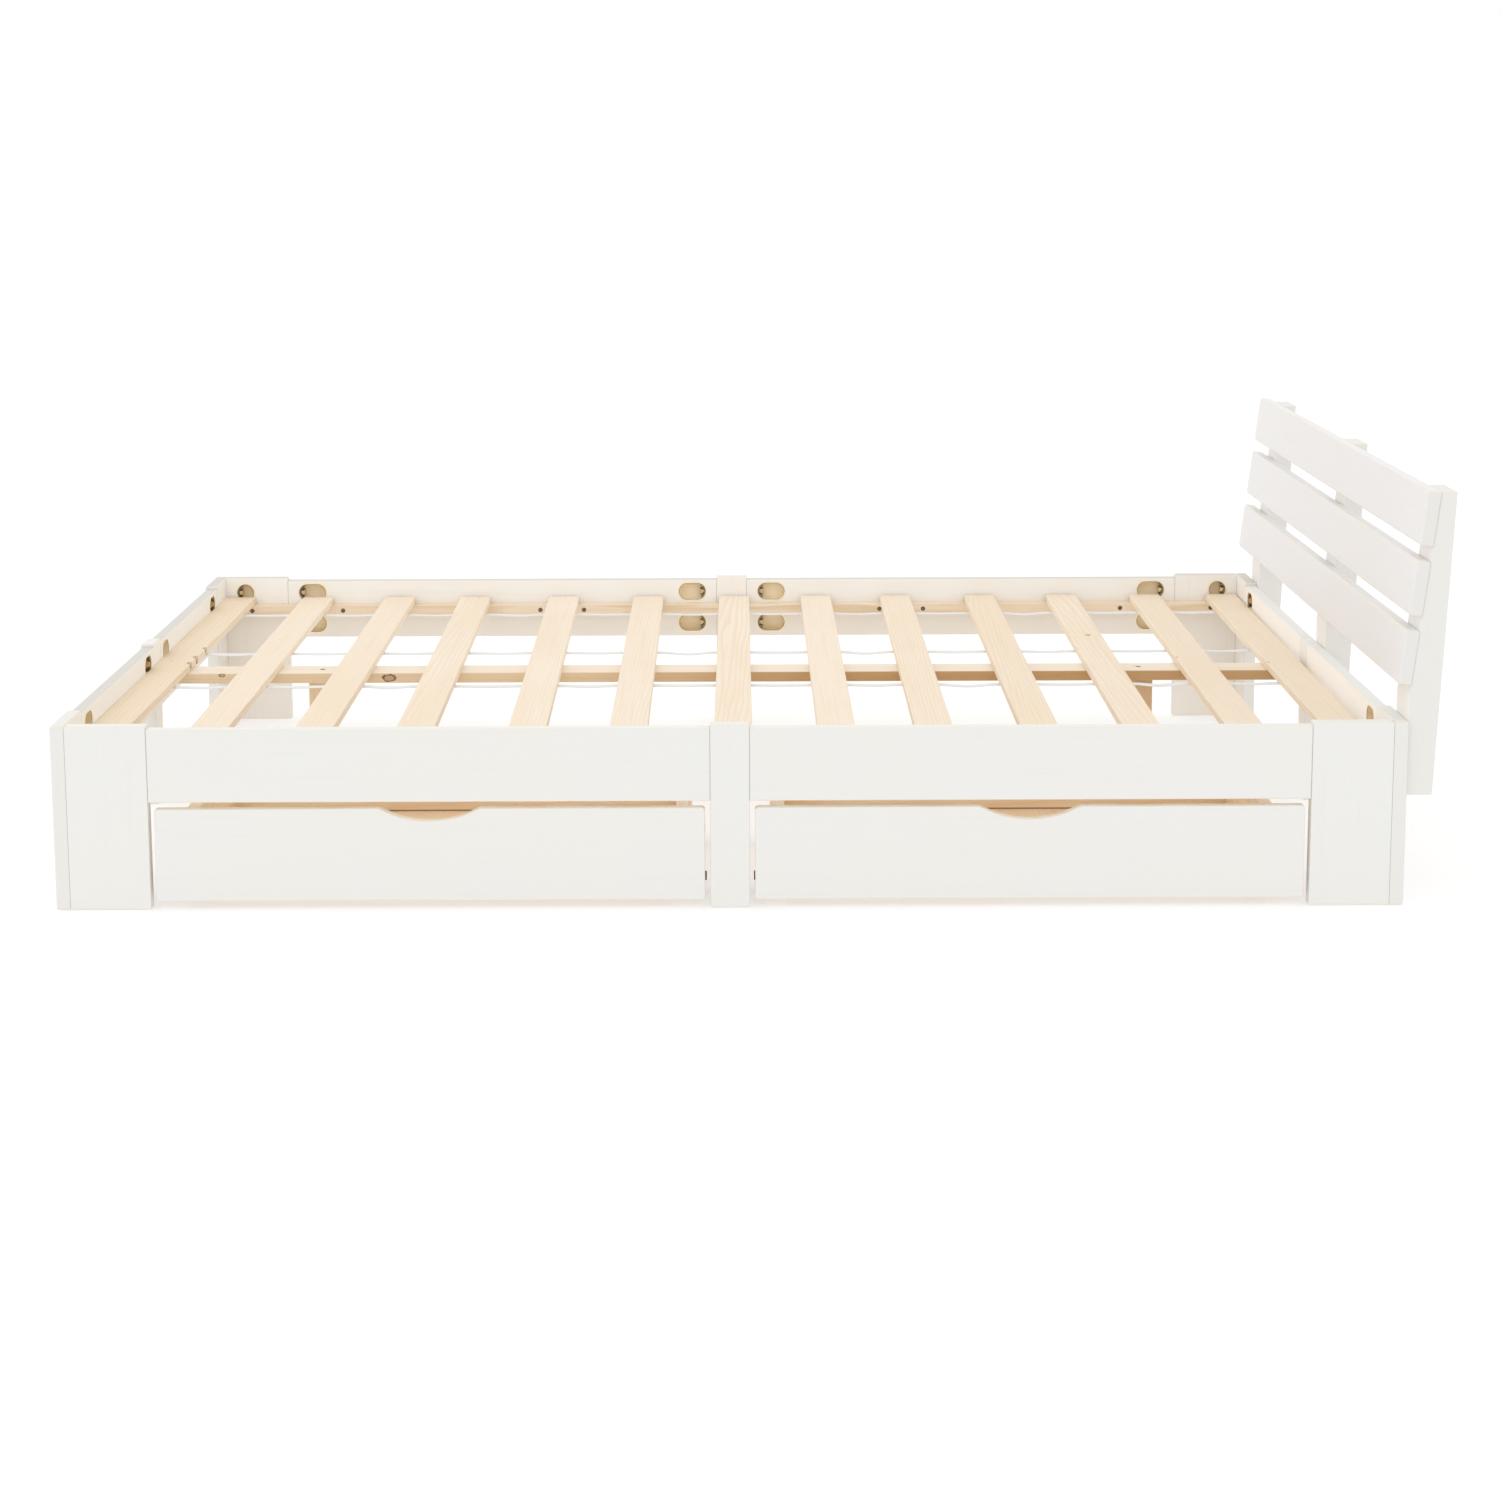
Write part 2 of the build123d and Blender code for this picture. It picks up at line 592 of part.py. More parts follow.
def axle_bolt(head_thick):
    """Shouldered bolt that carries a wheel; x = 0 is the box's outer face."""
    seat = WHEEL_GAP + WHEEL_WIDTH + AXLE_HEAD_PLAY
    shank = cylinder_along_x(BOLT_RADIUS, -BOX_SIDE_THICK + CUT_OVERRUN, seat)
    head = cylinder_along_x(AXLE_HEAD_RADIUS, seat, seat + head_thick)
    rim = head.edges().filter_by(GeomType.CIRCLE).sort_by(Axis.X)[-1]
    return shank + fillet(rim, AXLE_HEAD_EASE)


def wheel():
    """Side-mounted wheel with a recessed web and a hub; x = 0 is the box's outer face."""
    start, end = WHEEL_GAP, WHEEL_GAP + WHEEL_WIDTH
    disc = cylinder_along_x(WHEEL_RADIUS, start, end)
    disc = fillet(disc.edges().filter_by(GeomType.CIRCLE), WHEEL_EASE)
    ring = Circle(WHEEL_RADIUS - WHEEL_RIM) - Circle(WHEEL_HUB_RADIUS)
    dish = Rot(0, 90, 0) * extrude(ring, WHEEL_DISH)
    bore = cylinder_along_x(BOLT_RADIUS + WHEEL_PLAY, start - CUT_OVERRUN, end + CUT_OVERRUN)
    return disc - Pos(start, 0, 0) * dish - Pos(end - WHEEL_DISH, 0, 0) * dish - bore


def drawer_parts(end):
    """All pieces of one drawer, in the bed's frame."""
    axles = axle_heads(end)
    bolts = [frame * axle_bolt(AXLE_HEAD_THICK[axle]) for axle, frames in axles.items() for frame in frames]
    name = f"{end}_drawer"
    parts = {
        f"{name}_front": drawer_front(end),
        f"{name}_sides": drawer_sides(end),
        f"{name}_back": drawer_back(end),
        f"{name}_bottom": drawer_panel(end),
        f"{name}_axle_bolts": Compound(bolts),
    }
    for axle, frames in axles.items():
        parts[f"{name}_{axle}_wheels"] = Compound([frame * wheel() for frame in frames])
    return parts


# -------------------------------------------------------------------- assembly
def bed_parts():
    """Every piece of the bed by node name."""
    parts = frame_parts()
    parts["ledgers"] = ledgers()
    parts["centre_beam"] = centre_beam()
    parts["beam_legs"] = beam_legs()
    for number, (x, turn) in enumerate(zip(slat_centres(), SLAT_TURN), start=1):
        parts[f"slat_{number:02d}"] = slat(x, turn)
    parts["slat_tapes"] = slat_tapes()
    for place, y in HEADBOARD_POST_CENTRES.items():
        parts[f"headboard_post_{place}"] = headboard_post(y)
    for i, level in enumerate(("bottom", "middle", "top")):
        parts[f"headboard_plank_{level}"] = headboard_plank(i)
    parts["connector_bolts"] = Compound([frame * connector_bolt(grip) for frame, grip in all_joints()])
    parts["crescent_washers"] = Compound([frame * crescent_washer() for frame, _ in all_joints()])
    parts["wood_screws"] = Compound([frame * wood_screw(length) for frame, length in all_screws()])
    for end in ("foot", "head"):
        parts.update(drawer_parts(end))
    return parts


def main():
    os.makedirs("parts", exist_ok=True)
    for name, part in bed_parts().items():
        export_step(part, f"parts/{name}.step")


main()
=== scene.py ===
import math
import random

import bmesh
import bpy
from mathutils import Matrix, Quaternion, Vector


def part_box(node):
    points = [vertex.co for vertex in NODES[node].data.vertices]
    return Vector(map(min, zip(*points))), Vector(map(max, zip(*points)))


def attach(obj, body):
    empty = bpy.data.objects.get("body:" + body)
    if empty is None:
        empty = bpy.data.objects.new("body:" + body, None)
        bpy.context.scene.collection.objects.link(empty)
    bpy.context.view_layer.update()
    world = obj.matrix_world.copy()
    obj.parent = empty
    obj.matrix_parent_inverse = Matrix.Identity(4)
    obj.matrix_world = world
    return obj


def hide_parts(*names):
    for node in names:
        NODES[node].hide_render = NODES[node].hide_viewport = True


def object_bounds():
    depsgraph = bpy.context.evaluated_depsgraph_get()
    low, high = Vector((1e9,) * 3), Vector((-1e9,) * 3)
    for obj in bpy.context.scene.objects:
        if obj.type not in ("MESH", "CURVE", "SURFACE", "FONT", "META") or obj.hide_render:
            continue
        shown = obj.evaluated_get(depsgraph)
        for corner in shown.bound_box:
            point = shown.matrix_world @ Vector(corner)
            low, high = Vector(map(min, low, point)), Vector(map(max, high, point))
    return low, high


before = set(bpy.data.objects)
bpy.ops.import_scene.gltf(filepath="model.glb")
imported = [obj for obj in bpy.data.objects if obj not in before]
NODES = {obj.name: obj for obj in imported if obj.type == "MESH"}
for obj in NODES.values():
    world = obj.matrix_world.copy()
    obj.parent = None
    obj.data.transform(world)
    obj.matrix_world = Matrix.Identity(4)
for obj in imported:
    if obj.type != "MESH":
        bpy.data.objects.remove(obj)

cad_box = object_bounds()

LONG_RAILS = ("front_rail_foot", "front_rail_head", "back_rail_foot", "back_rail_head")
END_RAILS = ("foot_rail_front", "foot_rail_back", "head_rail_front", "head_rail_back")
SLAT_COUNT = 13
SLATS = tuple(f"slat_{i:02d}" for i in range(1, SLAT_COUNT + 1))
PLANKS = tuple(f"headboard_plank_{p}" for p in ("bottom", "middle", "top"))
HEADBOARD_POSTS = tuple(f"headboard_post_{p}" for p in ("front", "centre", "back"))
CORNERS = tuple(f"{end}_{side}_corner" for end in ("foot", "head") for side in ("front", "back"))
CENTRE_POSTS = tuple(f"{side}_centre_post" for side in ("front", "back", "foot", "head"))
DRAWERS = ("foot_drawer", "head_drawer")

# The inside of the frame: its middle along X, and how far the posts' inner faces are from the middle
MID_X = (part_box("foot_centre_post")[1].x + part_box("head_centre_post")[0].x) / 2
INNER_X = MID_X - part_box("foot_centre_post")[1].x
INNER_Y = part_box("back_centre_post")[0].y
RECLINE = math.radians(7)       # of the headboard's planks

# Where the connector pockets lie in the rails and corner boards, in metres
POCKET_FROM_END = 0.049
POCKET_STRAIGHT = 0.010         # half of a straight side
POCKET_RADIUS = 0.016
POCKET_DEPTH = 0.0166
POCKET_HEIGHTS = (0.195, 0.258)
POCKET_RIM = 0.0013             # depth of the chamfer round the mouth
ROUND_POCKET_FROM_END = 0.039
ROUND_POCKET_HEIGHTS = (0.070, 0.258)

# Over what length one finish gives way to another, and how far past a pocket's outline its parts reach
SKIN = 0.0002
WALL_REACH = (0.0014, 0.0012)
LIP_REACH = (0.0011, 0.0007)
RIM_REACH = (0.0046, 0.0034)
SEAM_WIDTH = 0.0009

# The largest part of a surface's normal, on a flat face and on an eased edge, and the range over which a part
# comes to face its axis
FLAT_FACE, EASED_FACE = 0.995, 0.93
FACING = (0.6, 0.9)

# ---------------------------------------------------------------- colours

WHITE = (0.808, 0.803, 0.773)
CREAM_WHITE = (0.818, 0.803, 0.763)
# a cooler copy of the white for the planks: a painted cool cast offsetting the warm light bounced from the
# slats
PLANK_WHITE = (0.812, 0.812, 0.824)
PLANK_CREAM = (0.818, 0.810, 0.808)
POST_WHITE = (0.785, 0.775, 0.738)
POST_CREAM = (0.790, 0.772, 0.728)
# painted light: a brighter, warmer white inside the frame, for light bounced from the pine slats
INNER_BOUNCE_LIGHT = (0.935, 0.915, 0.875)
# painted shade low on the faces inside the frame, below the ledgers
INNER_LOW_SHADE = (0.860, 0.810, 0.745)
INNER_LOW_HEIGHTS = (0.225, 0.200)
GRAIN_SHADE = (0.74, 0.715, 0.66)
# cream of the thinner coat on level edges, and a painted highlight there
THIN_EDGE_AND_HIGHLIGHT = (0.86, 0.75, 0.58)
RIM_CREAM = (0.97, 0.87, 0.65)
# painted shade on the thin lip of the pockets' mouths
LIP_SHADE = (0.30, 0.235, 0.15)
POCKET_KHAKI = (0.985, 0.87, 0.60)
# painted shade in the groove where boards butt
SEAM_SHADE = (0.38, 0.37, 0.35)

PALE_WOOD = (0.890, 0.785, 0.655)
LATE_WOOD = (0.820, 0.640, 0.430)
HONEY_WOOD = (0.830, 0.655, 0.450)
FIBRE_BROWN = (0.60, 0.40, 0.21)
END_GRAIN_BROWN = (0.60, 0.42, 0.24)
KNOT_CORE = (0.40, 0.215, 0.095)
KNOT_RING = (0.105, 0.050, 0.026)
WORN_WOOD = (0.93, 0.80, 0.62)
# painted shade on the side faces of the beam and legs, deeper towards the head
SHADED_PINE = (0.69, 0.545, 0.385)
DRAWER_TINT = (1.05, 0.955, 0.82)
GROOVE_SHADE = (0.30, 0.17, 0.07)
GROOVE_LINE = 0.0026            # height of the shadow line along a groove

WHEEL_GREY = (0.235, 0.240, 0.245)
SCUFF_GREY = (0.33, 0.33, 0.325)
TAPE_SHADE = (0.70, 0.69, 0.66)
TAPE_WHITE = (0.93, 0.925, 0.905)
TAPE_SOIL = (0.84, 0.81, 0.75)

# Metals: (colour, stain, roughness)
YELLOW_ZINC = ((0.78, 0.62, 0.34), (0.62, 0.47, 0.28), 0.26)
DARK_ZINC = ((0.30, 0.28, 0.25), (0.17, 0.15, 0.13), 0.30)
# dark steel for the screw heads, darker still as painted shade of their countersunk recesses
SCREW_STEEL_AND_SHADE = ((0.24, 0.17, 0.115), (0.13, 0.092, 0.065), 0.42)
AXLE_STEEL = ((0.10, 0.10, 0.105), (0.06, 0.058, 0.056), 0.36)

# Painted light and shade for the faces that look one way: (axis, way, what the colour is multiplied by)
# painted shade on the tops of the back and foot rails and the back corners
SHADED_TOP = ("Z", 1, (0.80, 0.78, 0.745))
# painted light on the up-facing faces of the drawer fronts: their top edge and finger notch
LIT_FRONT_TOP = ("Z", 1, (1.20, 1.12, 1.02))
# painted light on the head rails' faces that look towards the foot, in the headboard's shade
LIT_HEAD_RAIL = ("X", -1, (1.07, 1.06, 1.06))
# painted shade on the planks' ends that look to the front
SHADED_PLANK_END = ("Y", -1, (0.94, 0.93, 0.885))
# painted light on the headboard posts' faces that look towards the foot, shaded between the planks
LIT_POST_FRONT = ("X", -1, (1.16, 1.16, 1.18))

# ---------------------------------------------------------------- grain, noise and weave

PITH_ASIDE = (0.05, 0.12)       # how far the rings' middle lies from the board's, in metres
PITH_BELOW = (0.04, 0.11)
YEAR_WIDTH = (0.0036, 0.0052)
YEARS_ALONG = 5.0               # rings that slant by in a metre along the board, at most
YEAR_WAVER = 5.0
YEAR_PROFILE = ((0.0, 0.0), (0.5, 0.12), (0.86, 1.0), (0.95, 0.55), (1.0, 0.0))
YEAR_STRENGTH = (0.34, 0.55)
LATE_IN_HONEY = 0.18            # how much darker the late wood of a honey board is
WOOD_SHIFT, PAINT_SHIFT = 40, 9             # how far a board's noise is moved each way, at most
FINE = {"detail": 3.0, "roughness": 0.6}    # noise of fibres, streaks and grain lines

# Noise cells to a metre. Three numbers are twice across the grain and then along it
WAVER_CELLS = (16.0, 16.0, 1.3)
FIBRE_CELLS = (900.0, 900.0, 16.0)
STREAK_CELLS = (150.0, 150.0, 3.0)
CLOUDS_TO_WAVER = (0.4, 0.4, 1.6)
PAINTED_GRAIN_CELLS = (130.0, 130.0, 4.0)
BRUSH_CELLS = (620.0, 620.0, 18.0)
PAINT_CLOUD_CELLS = 3.5
PEEL_CELLS = 420.0
METAL_PATCH_CELLS = 240.0
METAL_MARK_CELLS = 2160.0
MOULD_SKIN_CELLS = 1500.0
SCUFF_CELLS = (60.0, 320.0, 320.0)          # along X, Y and Z
FUZZ_CELLS = 900.0
SOIL_CELLS = 14.0
FLOOR_PATCH_CELLS = 1.2
FLOOR_GRIT_CELLS = 240.0
WARP_PITCH = 0.0016             # of the tape's weave, in metres
WEFT_PITCH = 0.0011

# How marks show: the noise from which they start, the noise at which they are full, and their strength
STREAKS = (0.45, 0.75, 0.30)
CLOUDS = (0.42, 0.72, 0.34)
FIBRES = (0.56, 0.82, 0.22)
END_GRAIN = (0.8, 0.95, 0.45)
PAINTED_GRAIN = (0.52, 0.78, 0.16)
SOIL = (0.45, 0.75, 0.25)

# Strengths of what isn't noise
CORE_STRENGTH, RING_STRENGTH = 0.60, 0.85
EDGE_STRENGTH = 0.25
GROOVE_STRENGTH = 0.85
INNER_LOW_STRENGTH = 0.6
SEAM_STRENGTH = 0.6
POCKET_TONE, POCKET_CONTRAST, KHAKI_STRENGTH = 0.35, 0.9, 0.5

# The coat thins on its level edges, which also get a painted highlight: at least this much, and more on the
# ridges of the grain
THIN_AT_LEAST, THIN_ON_RIDGES = 0.25, 0.40
RIDGES = (0.40, 0.62)
LEVEL_EDGE = (0.05, 0.25)       # upward part of the normal, from an upright edge's to a level one's

# The noise over which one colour gives way to another
COAT_CLOUDS = (0.35, 0.70)
METAL_STAINS = (0.35, 0.70)
SCUFFS = (0.5, 0.8)
FLOOR_PATCHES = (0.3, 0.7)

# Relief and roughness, as shares of each noise, and how deep a bump is, as (strength, metres)
WOOD_RELIEF = (0.5, 0.5, 0.4)   # rings, fibres, streaks
WOOD_ROUGHNESS = 0.50
WOOD_ROUGHER = (0.16, -0.06)    # fibres, rings
WOOD_BUMP = (0.35, 0.0004)
WOOD_SPECULAR = 0.35
PAINT_RELIEF = (0.8, 0.25, 0.30)            # grain, brush marks, orange peel
PAINT_ROUGHNESS = 0.38
PAINT_ROUGHER = (0.10, 0.08)    # clouds, brush marks
PAINT_BUMP = (0.16, 0.0004)
METAL_ROUGHER = 0.16            # patches
METAL_BUMP = (0.2, 0.0001)
PLASTIC_ROUGHNESS, PLASTIC_ROUGHER = 0.44, 0.2          # scuffs
PLASTIC_BUMP = (0.25, 0.0002)
TAPE_ROUGHNESS, TAPE_ROUGHER = 0.70, 0.2    # fuzz
TAPE_BUMP = (0.5, 0.0003)
FLOOR_ROUGHNESS = 0.85
FLOOR_BUMP = (0.05, 0.0004)

# The tape's weave: its mean, how much its crossings and its ribs add, how strongly it shows, and fuzz over it
WEAVE_MEAN, WEAVE_CROSSINGS, WEAVE_RIBS = 0.5, 0.35, 0.15
WEAVE_STRENGTH = 0.8
FUZZ_RELIEF = 0.4

# A knot: how little distance counts through the board and along the grain, and the rest in its own radii
KNOT_THROUGH = 0.2
KNOT_ALONG = 0.3
KNOT_UNEVEN = 0.7
KNOT_CELLS = 1.4
KNOT_HEART = 0.5
KNOT_RING_AT, KNOT_RING_HALF, KNOT_RING_SOFT = 0.85, 0.15, 0.10
RINGS_BEND_FROM = 3.6
RINGS_BENT = 3.0                # years that the rings shift by at a knot


# ---------------------------------------------------------------- node building

class Shader:
    """A procedural material, built one node at a time."""

    def __init__(self, name):
        self.material = bpy.data.materials.new(name)
        self.material.use_nodes = True
        tree = self.material.node_tree
        self.nodes, self.links = tree.nodes, tree.links
        self.surface = self.nodes["Principled BSDF"]
        coords = self.nodes.new("ShaderNodeTexCoord")
        self.position, self.normal = coords.outputs["Object"], coords.outputs["Normal"]

    def add(self, kind, inputs, output=0, **settings):
        node = self.nodes.new("ShaderNode" + kind)
        for name, value in settings.items():
            setattr(node, name, value)
        for socket, value in inputs.items():
            self.put(node.inputs[socket], value)
        return node.outputs[output]

    def put(self, socket, value):
        if isinstance(value, bpy.types.NodeSocket):
            self.links.new(value, socket)
        else:
            socket.default_value = value

    def set(self, **inputs):
        for name, value in inputs.items():
            self.put(self.surface.inputs[name.replace("_", " ")], value)

    def math(self, operation, a, b=0.0):
        return self.add("Math", {0: a, 1: b}, operation=operation)

    def chain(self, operation, terms):
        """Joins any number of terms, two at a time."""
        result = terms[0]
        for term in terms[1:]:
            result = self.math(operation, result, term)
        return result

    def plus(self, *terms):
        return self.chain("ADD", terms)

    def times(self, *factors):
        return self.chain("MULTIPLY", factors)

    def either(self, *masks):
        return self.chain("MAXIMUM", masks)

    def apart(self, value, centre):
        return self.math("ABSOLUTE", self.math("SUBTRACT", value, centre))

    def nearest(self, value, centres):
        """How far value is from the nearest of several centres."""
        return self.chain("MINIMUM", [self.apart(value, centre) for centre in centres])

    def weighted(self, parts, weights):
        return list(map(self.times, parts, weights))

    def distance(self, gaps, weights=None):
        squares = [self.math("POWER", gap, 2.0) for gap in gaps]
        if weights:
            squares = self.weighted(squares, weights)
        return self.math("SQRT", self.plus(*squares))

    def axes(self, vector):
        """The three parts of a vector, as sockets keyed by axis letter."""
        node = self.nodes.new("ShaderNodeSeparateXYZ")
        self.links.new(vector, node.inputs[0])
        return dict(zip("XYZ", node.outputs))

    def join(self, x, y, z):
        return self.add("CombineXYZ", {0: x, 1: y, 2: z})

    def scaled(self, vector, x, y, z):
        return self.add("VectorMath", {0: vector, 1: (x, y, z)}, operation="MULTIPLY")

    def shifted(self, vector, x, y, z):
        return self.add("VectorMath", {0: vector, 1: (x, y, z)}, operation="ADD")

    def noise(self, vector, scale=1.0, detail=2.0, roughness=0.5):
        return self.add(
            "TexNoise", {"Vector": vector, "Scale": scale, "Detail": detail, "Roughness": roughness})

    def ramp(self, value, *stops):
        """Runs value through grey stops, each (place, level)."""
        node = self.nodes.new("ShaderNodeValToRGB")
        self.links.new(value, node.inputs[0])
        points = node.color_ramp.elements
        while len(points) < len(stops):
            points.new(0.5)
        for point, (place, level) in zip(points, stops):
            point.position = place
            point.color = (level, level, level, 1)
        return node.outputs[0]

    def mix(self, amount, a, b, blend="MIX"):
        a, b = ((*c, 1) if isinstance(c, tuple) and len(c) == 3 else c for c in (a, b))
        return self.add("Mix", {0: amount, 6: a, 7: b}, output=2, data_type="RGBA", blend_type=blend)

    def mark(self, colour, tint, value, low, high, strength):
        """Lays tint over colour where value is above low, with that strength where it is above high."""
        return self.mix(self.times(self.rise(value, low, high), strength), colour, tint)

    def rise(self, value, low, high):
        """0 below low and 1 above high, smooth between them; high below low makes it fall."""
        start, end, lowest, highest = (low, high, 0.0, 1.0) if low < high else (high, low, 1.0, 0.0)
        return self.add(
            "MapRange",
            {"Value": value, "From Min": start, "From Max": end, "To Min": lowest, "To Max": highest},
            interpolation_type="SMOOTHSTEP")

    def inside(self, value, centre, half, soft=0.0001):
        """1 where value is within half of centre."""
        return self.rise(self.apart(value, centre), half + soft, half - soft)

    def faces(self, axis, way=1):
        """1 on the faces that look along an axis."""
        return self.rise(self.times(self.axes(self.normal)[axis], way), *FACING)

    def bump(self, height, strength, distance):
        return self.add("Bump", {"Height": height, "Strength": strength, "Distance": distance})

    def edges(self, tilt=0.0):
        """1 on the eased edges of a board, where the surface faces none of its three axes."""
        normal = self.normal
        if tilt:
            normal = self.add("VectorRotate", {"Vector": normal, "Angle": tilt}, rotation_type="Y_AXIS")
        parts = self.axes(normal)
        most = self.either(*(self.math("ABSOLUTE", parts[axis]) for axis in "XYZ"))
        return self.rise(most, FLAT_FACE, EASED_FACE)


# ---------------------------------------------------------------- materials

def across_and_along(grain):
    """The two axes across the grain, and then the one along it."""
    return (*(axis for axis in "XYZ" if axis != grain), grain)


def board_axes(shader, grain, centre):
    """The place from the board's middle: twice across the grain, and then along it."""
    parts, middle = shader.axes(shader.position), dict(zip("XYZ", centre))
    return [shader.math("ADD", parts[axis], -middle[axis]) for axis in across_and_along(grain)]


def knot_reach(shader, axes, board, grain, centre, knot):
    """How far a point is from a knot's heart, which is long through the board and along the grain."""
    point, size, through = knot
    order = across_and_along(grain)
    offsets = {axis: at - middle for axis, at, middle in zip("XYZ", point, centre)}
    gaps = [shader.math("SUBTRACT", part, offsets[axis]) for part, axis in zip(axes, order)]
    weights = (*(KNOT_THROUGH if axis == through else 1.0 for axis in order[:2]), KNOT_ALONG)
    uneven = shader.math("SUBTRACT", shader.noise(board, KNOT_CELLS / size), 0.5)
    return shader.plus(shader.distance(gaps, weights), shader.times(uneven, KNOT_UNEVEN * size))


def wood(shader, grain, centre, tone, seed, knots=(), contrast=1.0):
    """Colour, height and roughness of solid softwood whose rings curve round a pith outside the board.

    centre is the board's middle, tone runs from 0, pale, to 1, honey, or is a pair, for the faces that look
    up and for the others, whose darker tone is painted shade, and knots are (point, radius, axis through the
    board)."""
    top_tone, side_tone = tone if isinstance(tone, tuple) else (tone, tone)
    rng = random.Random(seed)
    pith = (rng.choice((-1, 1)) * rng.uniform(*PITH_ASIDE), -rng.uniform(*PITH_BELOW))
    u, v, w = board_axes(shader, grain, centre)
    board = shader.join(u, v, w)
    stretched = shader.shifted(
        shader.scaled(board, *WAVER_CELLS), *(rng.uniform(-WOOD_SHIFT, WOOD_SHIFT) for _ in range(3)))
    waver = shader.math("SUBTRACT", shader.noise(stretched), 0.5)
    radius = shader.distance([shader.math("SUBTRACT", u, pith[0]), shader.math("SUBTRACT", v, pith[1])])
    years = shader.plus(
        shader.times(radius, 1 / rng.uniform(*YEAR_WIDTH)),
        shader.times(w, rng.uniform(-YEARS_ALONG, YEARS_ALONG)), shader.times(waver, YEAR_WAVER))

    cores, rims = [], []
    for knot in knots:
        size = knot[1]
        reach = knot_reach(shader, (u, v, w), board, grain, centre, knot)
        bend = shader.rise(reach, RINGS_BEND_FROM * size, KNOT_HEART * size)
        years = shader.plus(years, shader.times(bend, RINGS_BENT))
        cores.append(shader.rise(reach, size, KNOT_HEART * size))
        rims.append(shader.inside(reach, KNOT_RING_AT * size, KNOT_RING_HALF * size, KNOT_RING_SOFT * size))

    rings = shader.ramp(shader.math("FRACT", years), *YEAR_PROFILE)
    fibres = shader.noise(shader.scaled(board, *FIBRE_CELLS), **FINE)
    streaks = shader.noise(shader.scaled(board, *STREAK_CELLS), **FINE)
    clouds = shader.noise(shader.scaled(stretched, *CLOUDS_TO_WAVER))

    top_base, side_base = (
        tuple(pale + (honey - pale) * t for pale, honey in zip(PALE_WOOD, HONEY_WOOD))
        for t in (top_tone, side_tone))
    dark = tuple(c * (1 - LATE_IN_HONEY * side_tone) for c in LATE_WOOD)
    streak_low, streak_high, streak_strength = STREAKS
    # with a pair of tones, the faces that don't look up get painted shade
    colour = shader.mix(shader.faces("Z"), side_base, top_base)
    colour = shader.mix(shader.times(rings, rng.uniform(*YEAR_STRENGTH) * contrast), colour, dark)
    colour = shader.mark(colour, dark, streaks, streak_low, streak_high, streak_strength * contrast)
    colour = shader.mark(colour, HONEY_WOOD, clouds, *CLOUDS)
    colour = shader.mark(colour, FIBRE_BROWN, fibres, *FIBRES)
    endways = shader.math("ABSOLUTE", shader.axes(shader.normal)[grain])
    colour = shader.mark(colour, END_GRAIN_BROWN, endways, *END_GRAIN)
    if knots:
        colour = shader.mix(shader.times(shader.either(*cores), CORE_STRENGTH), colour, KNOT_CORE)
        colour = shader.mix(shader.times(shader.either(*rims), RING_STRENGTH), colour, KNOT_RING)
    height = shader.plus(*shader.weighted((rings, fibres, streaks), WOOD_RELIEF))
    rough = shader.plus(WOOD_ROUGHNESS, *shader.weighted((fibres, rings), WOOD_ROUGHER))
    return colour, height, rough


def groove_line(shader, panel):
    """1 on the line just above a panel that sits in a groove."""
    low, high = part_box(panel)
    middle, half = (low + high) / 2, (high - low) / 2
    parts = shader.axes(shader.position)
    return shader.times(
        shader.inside(parts["X"], middle.x, half.x), shader.inside(parts["Y"], middle.y, half.y),
        shader.inside(parts["Z"], high.z + GROOVE_LINE / 2, GROOVE_LINE / 2))


def bare_wood(name, grain, centre, tone, seed, knots=(), contrast=1.0, darker=(), tint=None, panel=None):
    """Sanded, unfinished pine. darker is painted shade on the side faces, deepening along X: (x where it
    starts to darken, x where it is darkest, strength).

    panel is a node that sits in a groove in this board, with a shadow line along the groove."""
    shader = Shader(name)
    colour, height, rough = wood(shader, grain, centre, tone, seed, knots, contrast)
    if darker:
        # painted shade: the side faces darken along X
        start, end, strength = darker
        shaded_sides = shader.times(
            shader.rise(shader.axes(shader.position)["X"], start, end),
            shader.rise(shader.axes(shader.normal)["Z"], *reversed(FACING)), strength)
        colour = shader.mix(shaded_sides, colour, SHADED_PINE, "MULTIPLY")
    if tint:
        colour = shader.mix(1.0, colour, tint, "MULTIPLY")
    colour = shader.mix(shader.times(shader.edges(), EDGE_STRENGTH), colour, WORN_WOOD)
    if panel:
        colour = shader.mix(shader.times(groove_line(shader, panel), GROOVE_STRENGTH), colour, GROOVE_SHADE)
    shader.set(Base_Color=colour, Roughness=rough, Normal=shader.bump(height, *WOOD_BUMP))
    shader.surface.inputs["Specular IOR Level"].default_value = WOOD_SPECULAR
    return shader.material


def pocket_masks(shader, depth, gap_along, gap_up, straight):
    """1 inside the connector pockets, 1 on the thin lip of their mouths, painted as shade, and 1 on the bare
    ring round them.

    depth is how far a point lies behind the face they open in, each gap is the distance to the nearest
    pocket's middle, along the board and up it, and straight is half of a pocket's straight side."""
    beyond = shader.math("MAXIMUM", shader.math("SUBTRACT", gap_along, straight), 0.0)
    past = shader.math("SUBTRACT", shader.distance((beyond, gap_up)), POCKET_RADIUS)
    walls = shader.times(
        shader.rise(past, *WALL_REACH),
        shader.rise(depth, POCKET_RIM - SKIN, POCKET_RIM),
        shader.rise(depth, POCKET_DEPTH, POCKET_DEPTH - SKIN))
    mouth = shader.times(shader.rise(depth, POCKET_RIM, POCKET_RIM - SKIN), shader.rise(depth, -SKIN, 0.0))
    lip, rim = (shader.times(mouth, shader.rise(past, *reach)) for reach in (LIP_REACH, RIM_REACH))
    return walls, lip, rim


